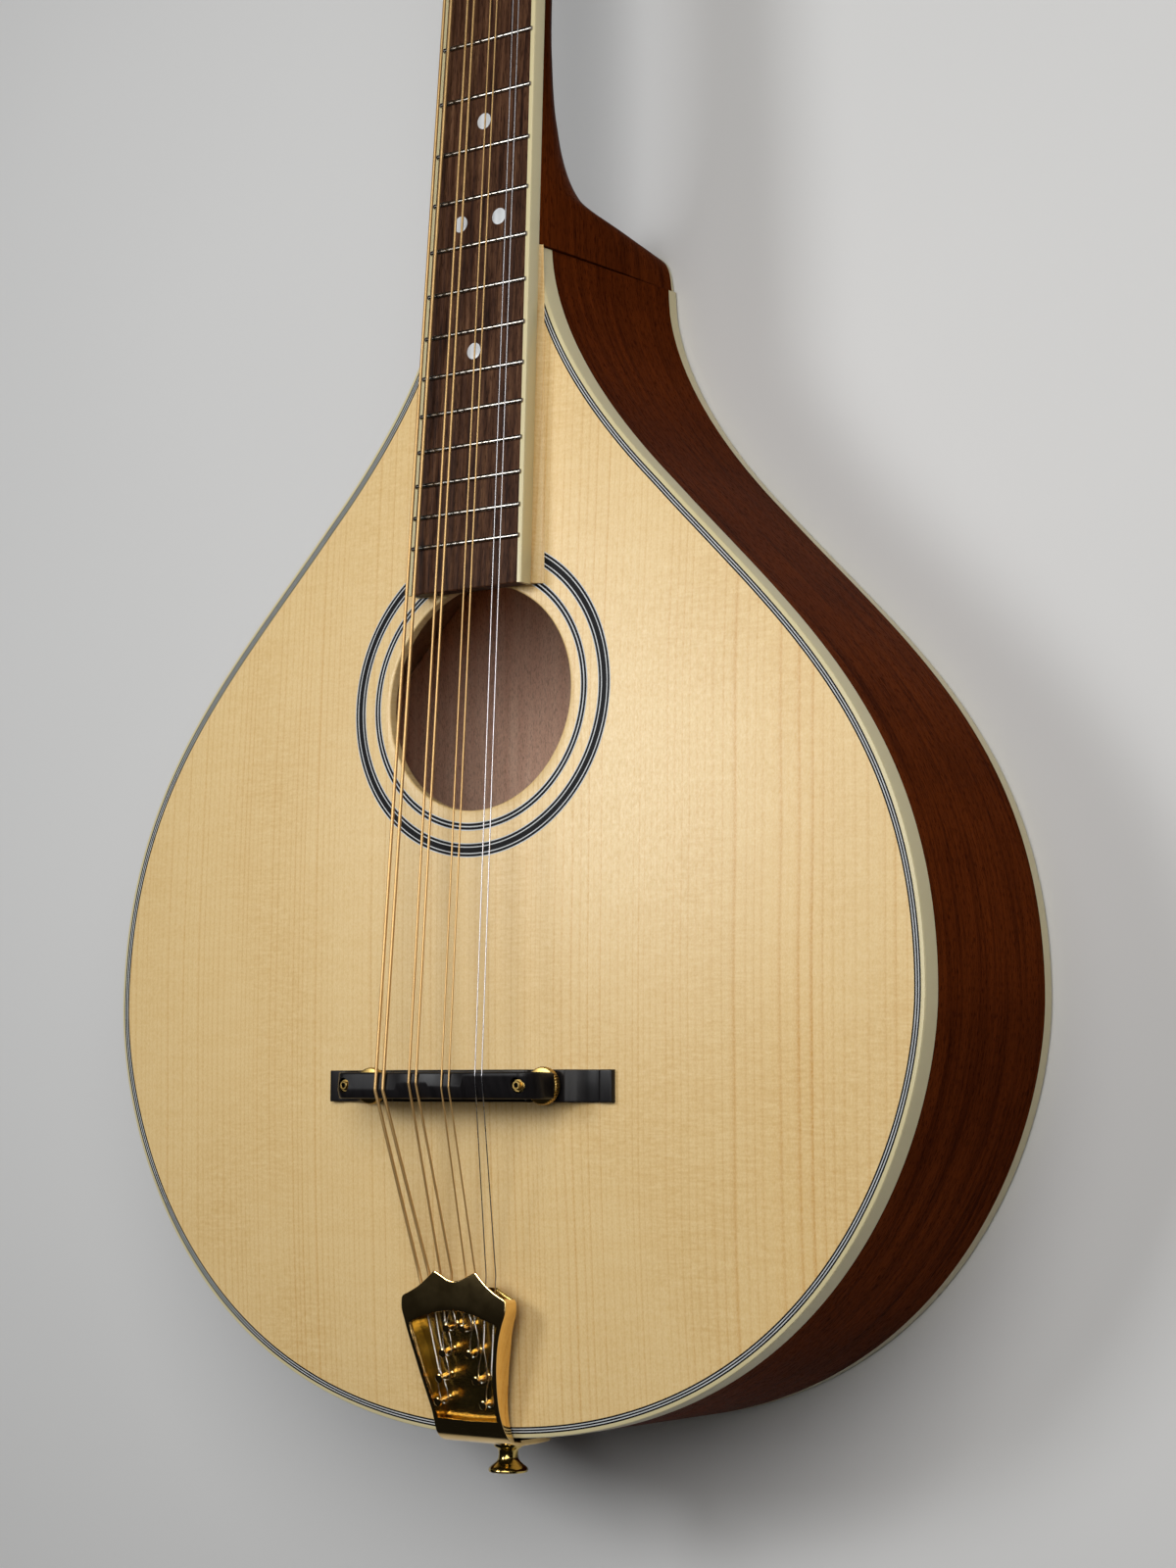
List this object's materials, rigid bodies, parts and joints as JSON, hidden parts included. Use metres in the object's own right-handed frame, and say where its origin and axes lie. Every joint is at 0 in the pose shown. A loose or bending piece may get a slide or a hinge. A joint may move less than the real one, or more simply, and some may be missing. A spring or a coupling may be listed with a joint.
{
  "type": "octave mandolin",
  "caption": "Teardrop octave mandolin with double courses, round sound hole, adjustable floating bridge, cast tailpiece, fretted neck and geared tuners.",
  "frame": {"origin": "under the middle of the instrument's box, on the surface its back rests on", "axes": "+Y along the neck towards the head, +X to the treble side, +Z out of the soundboard"},
  "size_m": [0.3046, 0.7836, 0.1035],
  "materials": {
    "spruce": "satin lacquer",
    "mahogany": "gloss lacquer",
    "inner_wood": "raw",
    "cream_binding": "gloss",
    "rosette": "gloss",
    "rosewood": "oiled",
    "ebony": "polished",
    "bone": "polished",
    "steel": "satin",
    "gold_hardware": "polished plating",
    "wound_bronze": "wound",
    "string_steel": "drawn wire"
  },
  "bodies": {
    "instrument": {"top_plate": "spruce", "top_brace_upper": "spruce", "top_brace_lower": "spruce", "back_brace_upper": "spruce", "back_brace_lower": "spruce", "fretboard_riser": "spruce", "back_plate": "mahogany", "rim_bass": "mahogany", "rim_treble": "mahogany", "neck": "mahogany", "neck_block": "inner_wood", "tail_block": "inner_wood", "top_lining": "inner_wood", "back_lining": "inner_wood", "top_binding": "cream_binding", "back_binding": "cream_binding", "heel_cap": "cream_binding", "fretboard_binding_bass": "cream_binding", "fretboard_binding_treble": "cream_binding", "rosette_outer": "rosette", "rosette_inner": "rosette", "fretboard": "rosewood", "headstock_veneer": "ebony", "bridge_base": "ebony", "nut": "bone", "truss_rod": "steel", "bridge_post_bass": "gold_hardware", "bridge_post_treble": "gold_hardware", "tailpiece": "gold_hardware", "end_pin": "gold_hardware", "tuner_plate_bass": "gold_hardware", "tuner_plate_treble": "gold_hardware", "string_g1": "wound_bronze", "string_g2": "wound_bronze", "string_d1": "wound_bronze", "string_d2": "wound_bronze", "string_a1": "wound_bronze", "string_a2": "wound_bronze", "string_e1": "string_steel", "string_e2": "string_steel"},
    "saddle": {"bridge_saddle": "ebony"},
    "wheel_bass": {"thumbwheel_bass": "gold_hardware"},
    "wheel_treble": {"thumbwheel_treble": "gold_hardware"},
    "rod_nut": {"truss_rod_nut": "steel"},
    "knob_1": {"tuner_knob_1": "gold_hardware"},
    "post_1": {"string_post_1": "gold_hardware"},
    "knob_2": {"tuner_knob_2": "gold_hardware"},
    "post_2": {"string_post_2": "gold_hardware"},
    "knob_3": {"tuner_knob_3": "gold_hardware"},
    "post_3": {"string_post_3": "gold_hardware"},
    "knob_4": {"tuner_knob_4": "gold_hardware"},
    "post_4": {"string_post_4": "gold_hardware"},
    "knob_5": {"tuner_knob_5": "gold_hardware"},
    "post_5": {"string_post_5": "gold_hardware"},
    "knob_6": {"tuner_knob_6": "gold_hardware"},
    "post_6": {"string_post_6": "gold_hardware"},
    "knob_7": {"tuner_knob_7": "gold_hardware"},
    "post_7": {"string_post_7": "gold_hardware"},
    "knob_8": {"tuner_knob_8": "gold_hardware"},
    "post_8": {"string_post_8": "gold_hardware"}
  },
  "joints": [
    {"name": "knob_1_turn", "type": "hinge", "parent": "instrument", "child": "knob_1", "pos_m": [-0.021, 0.27254, 0.03875], "axis": [-1, 0, 0], "continuous": true},
    {"name": "post_1_turn", "type": "hinge", "parent": "instrument", "child": "post_1", "pos_m": [-0.017, 0.28547, 0.05287], "axis": [0, 0.2604, 0.9655], "continuous": true},
    {"name": "knob_2_turn", "type": "hinge", "parent": "instrument", "child": "knob_2", "pos_m": [-0.021, 0.29475, 0.03276], "axis": [-1, 0, 0], "continuous": true},
    {"name": "post_2_turn", "type": "hinge", "parent": "instrument", "child": "post_2", "pos_m": [-0.017, 0.30767, 0.04688], "axis": [0, 0.2604, 0.9655], "continuous": true},
    {"name": "knob_3_turn", "type": "hinge", "parent": "instrument", "child": "knob_3", "pos_m": [-0.021, 0.31696, 0.02677], "axis": [-1, 0, 0], "continuous": true},
    {"name": "post_3_turn", "type": "hinge", "parent": "instrument", "child": "post_3", "pos_m": [-0.017, 0.32988, 0.04089], "axis": [0, 0.2604, 0.9655], "continuous": true},
    {"name": "knob_4_turn", "type": "hinge", "parent": "instrument", "child": "knob_4", "pos_m": [-0.021, 0.33916, 0.02078], "axis": [-1, 0, 0], "continuous": true},
    {"name": "post_4_turn", "type": "hinge", "parent": "instrument", "child": "post_4", "pos_m": [-0.017, 0.35209, 0.0349], "axis": [0, 0.2604, 0.9655], "continuous": true},
    {"name": "knob_5_turn", "type": "hinge", "parent": "instrument", "child": "knob_5", "pos_m": [0.021, 0.27254, 0.03875], "axis": [1, 0, 0], "continuous": true},
    {"name": "post_5_turn", "type": "hinge", "parent": "instrument", "child": "post_5", "pos_m": [0.017, 0.28547, 0.05287], "axis": [0, 0.2604, 0.9655], "continuous": true},
    {"name": "knob_6_turn", "type": "hinge", "parent": "instrument", "child": "knob_6", "pos_m": [0.021, 0.29475, 0.03276], "axis": [1, 0, 0], "continuous": true},
    {"name": "post_6_turn", "type": "hinge", "parent": "instrument", "child": "post_6", "pos_m": [0.017, 0.30767, 0.04688], "axis": [0, 0.2604, 0.9655], "continuous": true},
    {"name": "knob_7_turn", "type": "hinge", "parent": "instrument", "child": "knob_7", "pos_m": [0.021, 0.31696, 0.02677], "axis": [1, 0, 0], "continuous": true},
    {"name": "post_7_turn", "type": "hinge", "parent": "instrument", "child": "post_7", "pos_m": [0.017, 0.32988, 0.04089], "axis": [0, 0.2604, 0.9655], "continuous": true},
    {"name": "knob_8_turn", "type": "hinge", "parent": "instrument", "child": "knob_8", "pos_m": [0.021, 0.33916, 0.02078], "axis": [1, 0, 0], "continuous": true},
    {"name": "post_8_turn", "type": "hinge", "parent": "instrument", "child": "post_8", "pos_m": [0.017, 0.35209, 0.0349], "axis": [0, 0.2604, 0.9655], "continuous": true},
    {"name": "saddle_lift", "type": "slide", "parent": "instrument", "child": "saddle", "axis": [0, 0, 1], "range_m": [-0.0014, 0]},
    {"name": "wheel_bass_turn", "type": "hinge", "parent": "saddle", "child": "wheel_bass", "pos_m": [-0.03385, -0.27596, 0.08845], "axis": [0, 0, 1], "range_deg": [-720, 0]},
    {"name": "wheel_treble_turn", "type": "hinge", "parent": "saddle", "child": "wheel_treble", "pos_m": [0.03155, -0.27596, 0.08845], "axis": [0, 0, 1], "range_deg": [-720, 0]},
    {"name": "rod_nut_turn", "type": "hinge", "parent": "instrument", "child": "rod_nut", "pos_m": [0, -0.06475, 0.07115], "axis": [0, 0.9991, -0.0423], "range_deg": [-360, 360]}
  ],
  "couplings": [
    {"joint": "post_1_turn", "follows": "knob_1_turn", "ratio": -0.071429},
    {"joint": "post_2_turn", "follows": "knob_2_turn", "ratio": -0.071429},
    {"joint": "post_3_turn", "follows": "knob_3_turn", "ratio": -0.071429},
    {"joint": "post_4_turn", "follows": "knob_4_turn", "ratio": -0.071429},
    {"joint": "post_5_turn", "follows": "knob_5_turn", "ratio": 0.071429},
    {"joint": "post_6_turn", "follows": "knob_6_turn", "ratio": 0.071429},
    {"joint": "post_7_turn", "follows": "knob_7_turn", "ratio": 0.071429},
    {"joint": "post_8_turn", "follows": "knob_8_turn", "ratio": 0.071429},
    {"joint": "wheel_bass_turn", "follows": "saddle_lift", "rad_per_m": 8975.7},
    {"joint": "wheel_treble_turn", "follows": "saddle_lift", "rad_per_m": 8975.7}
  ]
}
